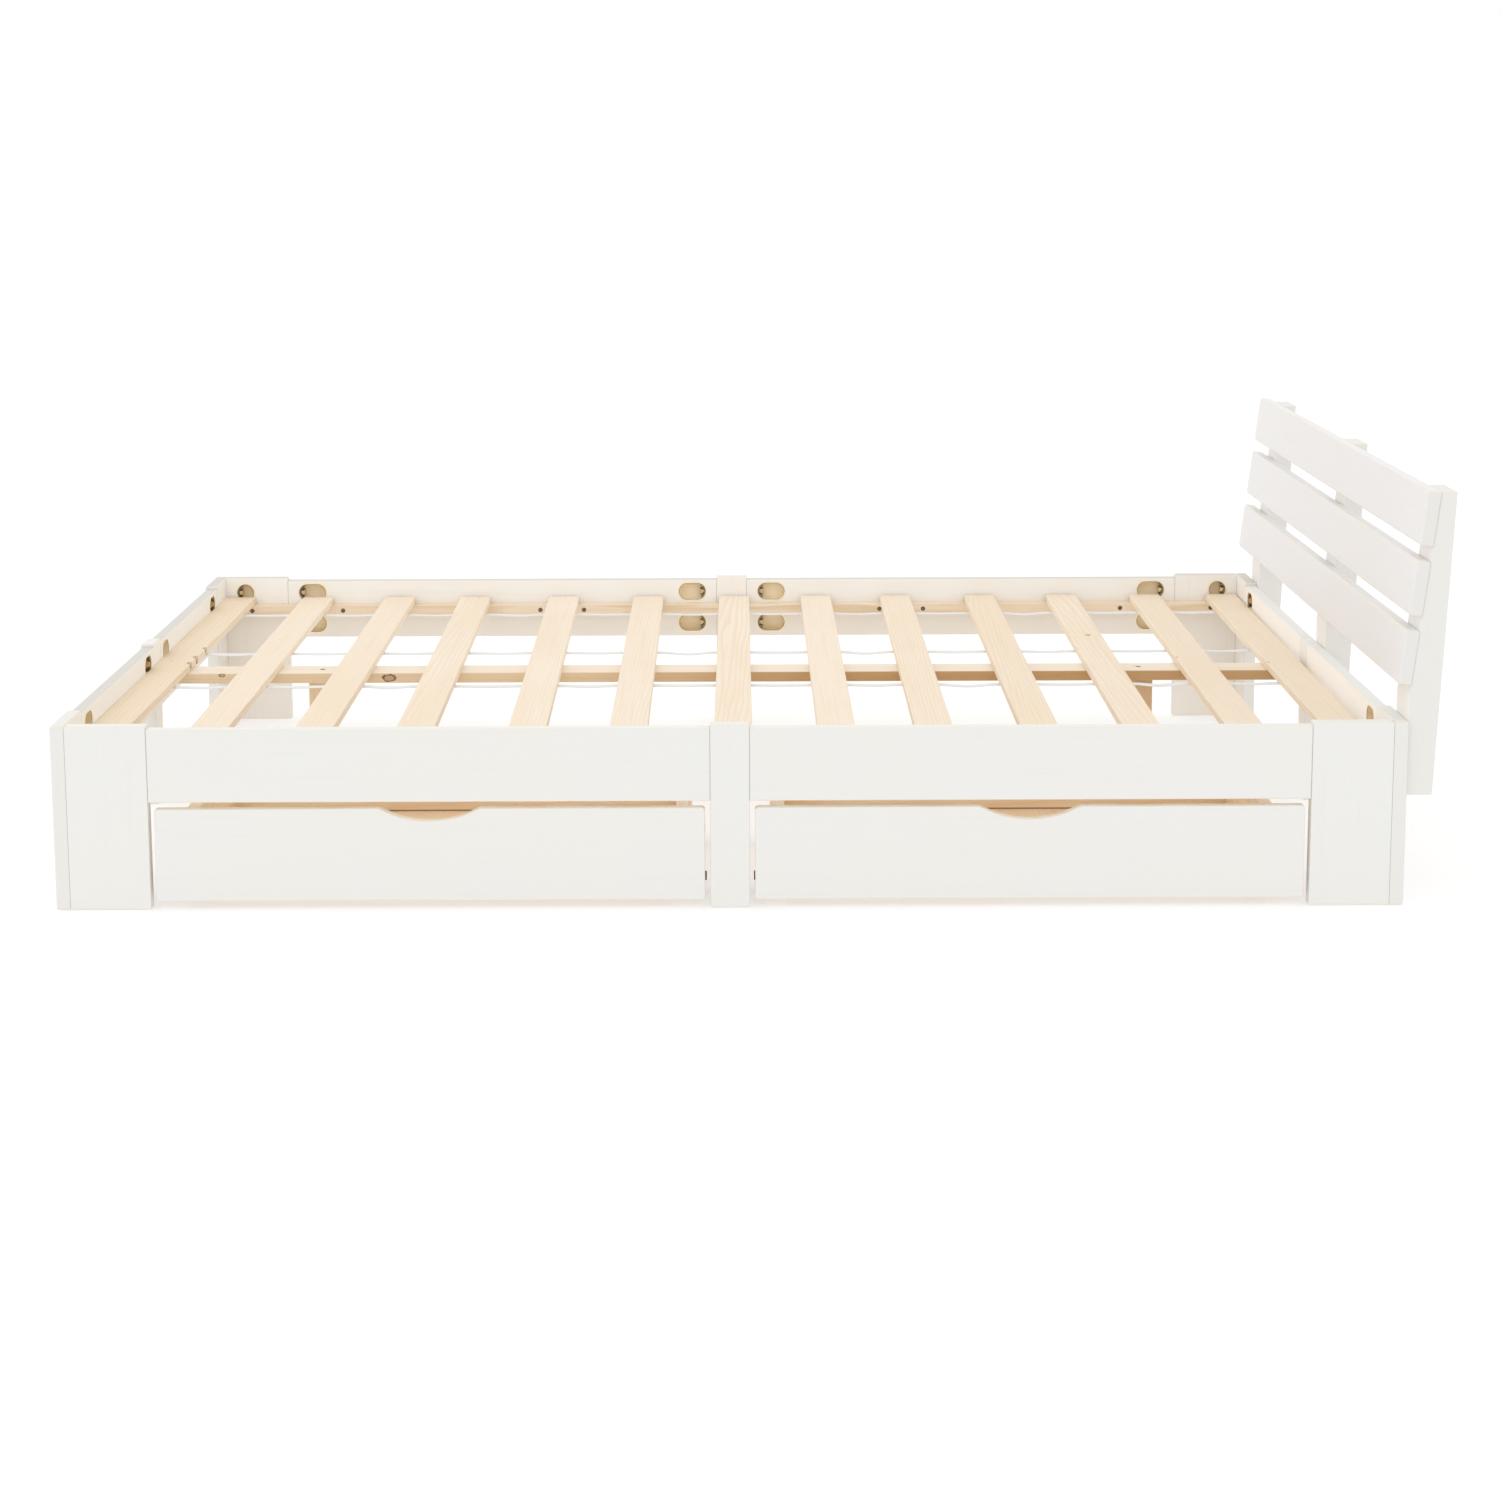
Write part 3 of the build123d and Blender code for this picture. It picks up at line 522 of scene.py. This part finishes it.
def paint(name, grain, centre, seed, pockets=(), seams=(), tilt=0.0, white=(WHITE, CREAM_WHITE), toned=None):
    """Satin white paint over pine: faint grain and orange peel under it, thinner on the eased edges, with a
    painted highlight on the level ones.

    pockets are (axis they go in along, distance of the face they open in, 1 if that is the inner face and
    -1 if the outer, axis along the board, centres, heights, half a straight side). seams are (axis, places)
    where boards butt, with painted shade along them, white is the coat's two ends, and the last is (axis,
    way, tone): painted light and shade on the faces that look that way."""
    rng = random.Random(seed)
    shader = Shader(name)
    board = shader.join(*board_axes(shader, grain, centre))
    moved = shader.shifted(board, *(rng.uniform(-PAINT_SHIFT, PAINT_SHIFT) for _ in range(3)))
    clouds = shader.noise(moved, PAINT_CLOUD_CELLS)
    grain_lines = shader.noise(shader.scaled(moved, *PAINTED_GRAIN_CELLS), **FINE)
    brush = shader.noise(shader.scaled(moved, *BRUSH_CELLS))
    peel = shader.noise(moved, PEEL_CELLS)

    colour = shader.mix(shader.rise(clouds, *COAT_CLOUDS), *white)
    parts = shader.axes(shader.position)
    inward = shader.times(
        shader.rise(shader.apart(parts["Y"], 0.0), INNER_Y + 2 * SKIN, INNER_Y + SKIN),
        shader.rise(shader.apart(parts["X"], MID_X), INNER_X + 2 * SKIN, INNER_X + SKIN))
    # painted warm bounce light on the faces inside the frame
    colour = shader.mix(inward, colour, INNER_BOUNCE_LIGHT)
    # painted shade low on the inner faces, below the ledgers
    low = shader.rise(parts["Z"], *INNER_LOW_HEIGHTS)
    colour = shader.mix(shader.times(inward, low, INNER_LOW_STRENGTH), colour, INNER_LOW_SHADE)
    # painted light and shade: the faces that look one way are made lighter or darker
    if toned:
        axis, way, tone = toned
        colour = shader.mix(shader.faces(axis, way), colour, shader.mix(1.0, colour, tone, "MULTIPLY"))
    colour = shader.mark(colour, GRAIN_SHADE, grain_lines, *PAINTED_GRAIN)
    eased = shader.edges(tilt)
    level = shader.rise(shader.math("ABSOLUTE", shader.axes(shader.normal)["Z"]), *LEVEL_EDGE)
    thin = shader.plus(THIN_AT_LEAST, shader.times(shader.rise(grain_lines, *RIDGES), THIN_ON_RIDGES))
    # thinner coat and painted highlight on the level eased edges
    colour = shader.mix(shader.times(eased, level, thin), colour, THIN_EDGE_AND_HIGHLIGHT)
    for axis, places in seams:
        close = shader.rise(shader.nearest(parts[axis], places), SEAM_WIDTH + SKIN, SEAM_WIDTH - SKIN)
        upright = shader.times(eased, shader.math("SUBTRACT", 1.0, level))
        # painted shade in the groove of each butt seam, on its upright eased edges
        colour = shader.mix(shader.times(close, upright, SEAM_STRENGTH), colour, SEAM_SHADE)
    rough = shader.plus(PAINT_ROUGHNESS, *shader.weighted((clouds, brush), PAINT_ROUGHER))
    height = shader.plus(*shader.weighted((grain_lines, brush, peel), PAINT_RELIEF))

    if pockets:
        raw, _, raw_rough = wood(shader, grain, centre, POCKET_TONE, seed, contrast=POCKET_CONTRAST)
        raw = shader.mix(KHAKI_STRENGTH, raw, POCKET_KHAKI)
    for into, face, way, along, centres, heights, straight in pockets:
        offset = MID_X if into == "X" else 0.0
        depth = shader.times(shader.math("SUBTRACT", shader.apart(parts[into], offset), face), way)
        gap_along, gap_up = shader.nearest(parts[along], centres), shader.nearest(parts["Z"], heights)
        walls, lip, rim = pocket_masks(shader, depth, gap_along, gap_up, straight)
        colour = shader.mix(walls, colour, raw)
        colour = shader.mix(rim, colour, RIM_CREAM)
        # painted shade round the pocket's mouth
        colour = shader.mix(lip, colour, LIP_SHADE)
        painted = shader.math("SUBTRACT", 1.0, walls)
        rough = shader.plus(shader.times(rough, painted), shader.times(raw_rough, walls))
    shader.set(Base_Color=colour, Roughness=rough, Normal=shader.bump(height, *PAINT_BUMP))
    return shader.material


def metal(name, colour, stain, roughness):
    """Plated or blackened steel, with fine tumbling marks and a patchy tone."""
    shader = Shader(name)
    patches = shader.noise(shader.position, METAL_PATCH_CELLS, detail=3.0)
    marks = shader.noise(shader.position, METAL_MARK_CELLS)
    shader.set(
        Base_Color=shader.mix(shader.rise(patches, *METAL_STAINS), colour, stain), Metallic=1.0,
        Roughness=shader.plus(roughness, shader.times(patches, METAL_ROUGHER)),
        Normal=shader.bump(marks, *METAL_BUMP))
    return shader.material


def plastic(name):
    """Moulded grey wheel plastic with a spark-eroded skin and scuffs round the tread."""
    shader = Shader(name)
    skin = shader.noise(shader.position, MOULD_SKIN_CELLS)
    scuffs = shader.noise(shader.scaled(shader.position, *SCUFF_CELLS), detail=3.0, roughness=0.65)
    shader.set(
        Base_Color=shader.mix(shader.rise(scuffs, *SCUFFS), WHEEL_GREY, SCUFF_GREY),
        Roughness=shader.plus(PLASTIC_ROUGHNESS, shader.times(scuffs, PLASTIC_ROUGHER)),
        Normal=shader.bump(skin, *PLASTIC_BUMP))
    return shader.material


def webbing(name):
    """White woven polypropylene tape: warp ribs along it and weft picks across it, a little soiled."""
    shader = Shader(name)
    parts = shader.axes(shader.position)
    warp = shader.math("SINE", shader.times(parts["Y"], 2 * math.pi / WARP_PITCH))
    weft = shader.math("SINE", shader.times(parts["X"], 2 * math.pi / WEFT_PITCH))
    weave = shader.plus(
        WEAVE_MEAN, shader.times(warp, weft, WEAVE_CROSSINGS), shader.times(warp, WEAVE_RIBS))
    fuzz = shader.noise(shader.position, FUZZ_CELLS, detail=3.0)
    soil = shader.noise(shader.position, SOIL_CELLS)
    colour = shader.mix(shader.times(weave, WEAVE_STRENGTH), TAPE_SHADE, TAPE_WHITE)
    colour = shader.mark(colour, TAPE_SOIL, soil, *SOIL)
    shader.set(
        Base_Color=colour, Roughness=shader.plus(TAPE_ROUGHNESS, shader.times(fuzz, TAPE_ROUGHER)),
        Normal=shader.bump(shader.plus(weave, shader.times(fuzz, FUZZ_RELIEF)), *TAPE_BUMP))
    return shader.material


# ---------------------------------------------------------------- finishes of the CAD pieces

def coat(node, material):
    """Gives a CAD node that material throughout."""
    slots = NODES[node].data.materials
    slots.clear()
    slots.append(material)


def middle_of(node):
    low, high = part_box(node)
    return (low + high) / 2


def ends_of(node, axis):
    low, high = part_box(node)
    return low["XYZ".index(axis)], high["XYZ".index(axis)]


def coat_white(node, grain, seed, **looks):
    coat(node, paint(f"white_{node}", grain, middle_of(node), seed, **looks))


def rail_pockets(node, into, along):
    """Where a rail's connector pockets lie: a pair near each end, in its inner face.

    The head rails' middle pairs are in the outer face."""
    inner = INNER_X if into == "X" else INNER_Y
    low, high = ends_of(node, along)
    centres = (low + POCKET_FROM_END, high - POCKET_FROM_END)
    if not node.startswith("head_rail"):
        return [(into, inner, 1, along, centres, POCKET_HEIGHTS, POCKET_STRAIGHT)]
    middle, corner = sorted(centres, key=abs)
    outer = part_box(node)[1].x - MID_X
    return [(into, inner, 1, along, (corner,), POCKET_HEIGHTS, POCKET_STRAIGHT),
            (into, outer, -1, along, (middle,), POCKET_HEIGHTS, POCKET_STRAIGHT)]


for seed, node in enumerate(LONG_RAILS, 100):
    coat_white(
        node, "X", seed, pockets=rail_pockets(node, "Y", "X"), seams=[("X", ends_of(node, "X"))],
        toned=SHADED_TOP if node.startswith("back") else None)
for seed, node in enumerate(END_RAILS, 110):
    coat_white(
        node, "Y", seed, pockets=rail_pockets(node, "X", "Y"), seams=[("Y", ends_of(node, "Y"))],
        toned=SHADED_TOP if node.startswith("foot") else LIT_HEAD_RAIL)
for seed, corner in enumerate(CORNERS, 120):
    side_board, end_board = f"{corner}_side_board", f"{corner}_end_board"
    way = 1 if corner.startswith("foot") else -1
    toned = SHADED_TOP if "back" in corner else None
    butt_x = MID_X - way * INNER_X
    round_pockets = ("Y", INNER_Y, 1, "X", (butt_x + way * ROUND_POCKET_FROM_END,), ROUND_POCKET_HEIGHTS, 0.0)
    coat_white(
        side_board, "Z", seed, pockets=[round_pockets], seams=[("X", ends_of(side_board, "X"))], toned=toned)
    coat_white(
        end_board, "Z", seed + 10, seams=[("X", (butt_x,)), ("Y", (min(ends_of(end_board, "Y"), key=abs),))],
        white=(POST_WHITE, POST_CREAM), toned=toned)
for seed, node in enumerate(CENTRE_POSTS, 140):
    along = "X" if node.startswith(("front", "back")) else "Y"
    coat_white(node, "Z", seed, seams=[(along, ends_of(node, along))])
for seed, node in enumerate(HEADBOARD_POSTS, 144):
    coat_white(node, "Z", seed, white=(POST_WHITE, POST_CREAM), toned=LIT_POST_FRONT)
for seed, node in enumerate(PLANKS, 150):
    coat_white(node, "Y", seed, tilt=RECLINE, white=(PLANK_WHITE, PLANK_CREAM), toned=SHADED_PLANK_END)
for seed, drawer in enumerate(DRAWERS, 160):
    coat_white(f"{drawer}_front", "X", seed, toned=LIT_FRONT_TOP)

SLAT_TONES = (0.58, 0.22, 0.22, 0.20, 0.08, 0.14, 0.10, 0.08, 0.20, 0.42, 0.20, 0.26, 0.34)
SLAT_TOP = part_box("slat_01")[1].z
SLAT_KNOTS = {
    "slat_01": [((-0.986, -0.008, SLAT_TOP), 0.0050, "Z"), ((-0.985, 0.050, SLAT_TOP), 0.0058, "Z"),
                ((-0.985, 0.139, SLAT_TOP), 0.0045, "Z"), ((-1.021, 0.012, SLAT_TOP), 0.0016, "Z")],
    "slat_11": [((0.6285, 0.2407, SLAT_TOP), 0.0042, "Z")],
    "slat_12": [((0.760, 0.015, SLAT_TOP), 0.0022, "Z")],
    "slat_13": [((0.913, -0.035, SLAT_TOP), 0.0022, "Z")],
}
for seed, (node, tone) in enumerate(zip(SLATS, SLAT_TONES), 200):
    coat(node, bare_wood(
        f"pine_{node}", "Y", middle_of(node), tone, seed, SLAT_KNOTS.get(node, ()), contrast=1.3))

BEAM_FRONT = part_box("centre_beam")[0].y
BEAM_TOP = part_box("centre_beam")[1].z
BEAM_KNOTS = [((-0.925, BEAM_FRONT, 0.2325), 0.0032, "Y"), ((-0.632, BEAM_FRONT, 0.227), 0.0068, "Y"),
              ((-0.755, 0.005, BEAM_TOP), 0.0025, "Z"), ((0.686, 0.006, BEAM_TOP), 0.0025, "Z")]
LEDGERS_MIDDLE = Vector((MID_X, 0, 0.226))
LEGS_MIDDLE = Vector((MID_X, 0, 0.11))
# the beam's and ledgers' side faces take a darker tone than their tops: painted shade
coat("centre_beam", bare_wood(
    "pine_centre_beam", "X", middle_of("centre_beam"), (0.10, 1.0), 220, BEAM_KNOTS,
    darker=(-0.4, 0.15, 1.0)))
coat("ledgers", bare_wood("pine_ledgers", "X", LEDGERS_MIDDLE, (0.15, 0.50), 221, contrast=2.2))
coat("beam_legs", bare_wood(
    "pine_beam_legs", "Z", LEGS_MIDDLE, 0.80, 222, contrast=1.2, darker=(-0.2, 0.5, 0.62)))
DRAWER_TONE, PANEL_TONE = -0.8, -0.3        # below 0, so paler than all the other wood
for seed, drawer in enumerate(DRAWERS, 230):
    middle = middle_of(f"{drawer}_sides")
    panel = f"{drawer}_bottom"
    for part, grain, later in (("sides", "Y", 0), ("back", "X", 10)):
        coat(f"{drawer}_{part}", bare_wood(
            f"pine_{drawer}_{part}", grain, middle, DRAWER_TONE, seed + later, contrast=1.2,
            tint=DRAWER_TINT, panel=panel))
    coat(panel, bare_wood(f"ply_{panel}", "Y", middle, PANEL_TONE, seed + 20, tint=DRAWER_TINT))

yellow_zinc = metal("yellow_zinc", *YELLOW_ZINC)
dark_zinc = metal("dark_zinc", *DARK_ZINC)
screw_steel_and_shade = metal("screw_steel_and_shade", *SCREW_STEEL_AND_SHADE)
axle_steel = metal("axle_steel", *AXLE_STEEL)
wheel_grey = plastic("wheel_grey")
coat("connector_bolts", yellow_zinc)
coat("crescent_washers", dark_zinc)
coat("wood_screws", screw_steel_and_shade)
for drawer in DRAWERS:
    coat(f"{drawer}_axle_bolts", axle_steel)
    coat(f"{drawer}_front_wheels", wheel_grey)
    coat(f"{drawer}_rear_wheels", wheel_grey)


# ---------------------------------------------------------------- slat tapes

def mesh_piece(name, build, material, body):
    """A new visible piece whose mesh is filled in by build, riding on a body."""
    mesh = bpy.data.meshes.new(name)
    shape = bmesh.new()
    build(shape)
    bmesh.ops.recalc_face_normals(shape, faces=shape.faces)
    shape.to_mesh(mesh)
    shape.free()
    mesh.materials.append(material)
    piece = bpy.data.objects.new(name, mesh)
    bpy.context.scene.collection.objects.link(piece)
    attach(piece, body)
    return piece


TAPE_LOW, TAPE_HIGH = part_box("slat_tapes")
TAPE_WIDTH = 0.022
TAPE_THICKNESS = 0.0009
TAPE_GAP = 0.0001               # between a tape and the slats that it runs under
TAPE_YS = (TAPE_LOW.y + TAPE_WIDTH / 2, -0.155, 0.155, TAPE_HIGH.y - TAPE_WIDTH / 2)
TAPE_STEP = 0.006
TIGHT_SAG, SLACK_SAG = 0.0005, 0.0045       # most gaps are nearly tight, and a few hang
TWIST = 0.04
WANDER = 0.001
# The tape's section, in its own widths and thicknesses: thinner along the selvedges
TAPE_SECTION = (
    (-0.5, -0.35), (-0.42, -0.5), (-0.15, -0.46), (0.15, -0.46), (0.42, -0.5), (0.5, -0.35),
    (0.5, 0.35), (0.42, 0.5), (0.15, 0.46), (-0.15, 0.46), (-0.42, 0.5), (-0.5, 0.35))


def ribbon_line(rng):
    """Points (x, z, tilt, sway) down one tape: flat under each slat, slack and a little twisted between."""
    held = [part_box(node) for node in SLATS]
    gaps = [
        (before[1].x, after[0].x, TIGHT_SAG + SLACK_SAG * rng.random() ** 5,
         rng.uniform(-TWIST, TWIST), rng.uniform(-WANDER, WANDER))
        for before, after in zip(held, held[1:])]
    top = TAPE_HIGH.z - TAPE_THICKNESS / 2 - TAPE_GAP
    count = round((TAPE_HIGH.x - TAPE_LOW.x) / TAPE_STEP)
    points = []
    for i in range(count + 1):
        x = TAPE_LOW.x + (TAPE_HIGH.x - TAPE_LOW.x) * i / count
        drop = tilt = sway = 0.0
        for start, end, sag, twist, wander in gaps:
            if start < x < end:
                share = math.sin(math.pi * (x - start) / (end - start)) ** 2
                drop, tilt, sway = sag * share, twist * share, wander * share
        points.append((x, top - drop - abs(tilt) * TAPE_WIDTH / 2, tilt, sway))
    return points


def build_ribbons(shape):
    rng = random.Random(7)
    for y in TAPE_YS:
        loops = []
        for x, z, tilt, sway in ribbon_line(rng):
            loop = []
            for side, up in TAPE_SECTION:
                wide, high = side * TAPE_WIDTH, up * TAPE_THICKNESS
                loop.append(shape.verts.new((
                    x, y + sway + wide * math.cos(tilt) - high * math.sin(tilt),
                    z + wide * math.sin(tilt) + high * math.cos(tilt))))
            loops.append(loop)
        for a, b in zip(loops, loops[1:]):
            for i in range(len(TAPE_SECTION)):
                j = (i + 1) % len(TAPE_SECTION)
                shape.faces.new((a[i], a[j], b[j], b[i])).smooth = True
        shape.faces.new(loops[0])
        shape.faces.new(loops[-1])


ribbons = mesh_piece("slat_tape_ribbons", build_ribbons, webbing("tape_white"), "frame")
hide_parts("slat_tapes")


# ---------------------------------------------------------------- floor, light and camera

FLOOR_HALF = 40.0
FLOOR_DROP = 0.0005             # the floor lies this far below the posts
FLOOR_GREYS = (0.54, 0.54, 0.54), (0.53, 0.53, 0.53)
FLOOR_GLOW = 0.48               # lifts the shadows on the floor nearly to white

# Square lights: (where it is, what it is aimed at, its side in metres, its power in watts)
LIGHTS = {
    "key": ((-3.2, -3.4, 5.2), (0, 0, 0.2), 3.4, 24),
    "fill": ((3.6, -3.6, 3.4), (0, 0, 0.3), 3.0, 7),
    "top": ((0.2, 1.2, 5.5), (0, 0, 0.2), 4.0, 14),
    "foot_side": ((-4.4, 0.4, 2.2), (1.0, 0, 0.3), 2.4, 10),
}


def floor_material():
    shader = Shader("pale_floor")
    patches = shader.noise(shader.position, FLOOR_PATCH_CELLS)
    grit = shader.noise(shader.position, FLOOR_GRIT_CELLS)
    shader.set(
        Base_Color=shader.mix(shader.rise(patches, *FLOOR_PATCHES), *FLOOR_GREYS),
        Roughness=FLOOR_ROUGHNESS, Normal=shader.bump(grit, *FLOOR_BUMP))
    shader.surface.inputs["Emission Color"].default_value = (1, 1, 1, 1)
    shader.surface.inputs["Emission Strength"].default_value = FLOOR_GLOW
    return shader.material


def build_floor():
    mesh = bpy.data.meshes.new("floor")
    corners = [(x * FLOOR_HALF, y * FLOOR_HALF, 0) for x, y in ((-1, -1), (1, -1), (1, 1), (-1, 1))]
    mesh.from_pydata(corners, [], [(0, 1, 2, 3)])
    mesh.materials.append(floor_material())
    floor = bpy.data.objects.new("floor", mesh)
    floor.location.z = cad_box[0].z - FLOOR_DROP
    bpy.context.scene.collection.objects.link(floor)


def soft_light(name, place, aim, size, power):
    lamp = bpy.data.lights.new(name, "AREA")
    lamp.shape, lamp.size, lamp.energy = "SQUARE", size, power
    light = bpy.data.objects.new(name, lamp)
    light.location = place
    light.rotation_euler = (Vector(aim) - Vector(place)).to_track_quat("-Z", "Y").to_euler()
    bpy.context.scene.collection.objects.link(light)


def white_world():
    world = bpy.data.worlds.new("studio")
    world.use_nodes = True
    background = world.node_tree.nodes["Background"]
    background.inputs["Color"].default_value = (1, 1, 1, 1)
    background.inputs["Strength"].default_value = 1.0
    bpy.context.scene.world = world
    bpy.context.scene.view_settings.view_transform = "Standard"


build_floor()
for name, setting in LIGHTS.items():
    soft_light(name, *setting)
white_world()

CAMERA_PLACE = (-0.0152, -5.1106, 1.2089)
CAMERA_YAW, CAMERA_PITCH, CAMERA_ROLL = 0.0035, 0.165, -0.0029
CAMERA_SHIFT = -0.1
SENSOR = 36.0                   # millimetres
FOCAL = 1.9602 * SENSOR

lens = bpy.data.cameras.new("camera")
lens.sensor_width, lens.lens, lens.shift_y = SENSOR, FOCAL, CAMERA_SHIFT
camera = bpy.data.objects.new("camera", lens)
camera.location = CAMERA_PLACE
looking = Vector((
    math.sin(CAMERA_YAW) * math.cos(CAMERA_PITCH), math.cos(CAMERA_YAW) * math.cos(CAMERA_PITCH),
    -math.sin(CAMERA_PITCH)))
camera.rotation_mode = "QUATERNION"
camera.rotation_quaternion = looking.to_track_quat("-Z", "Y") @ Quaternion((0, 0, 1), CAMERA_ROLL)
bpy.context.scene.collection.objects.link(camera)
bpy.context.scene.camera = camera
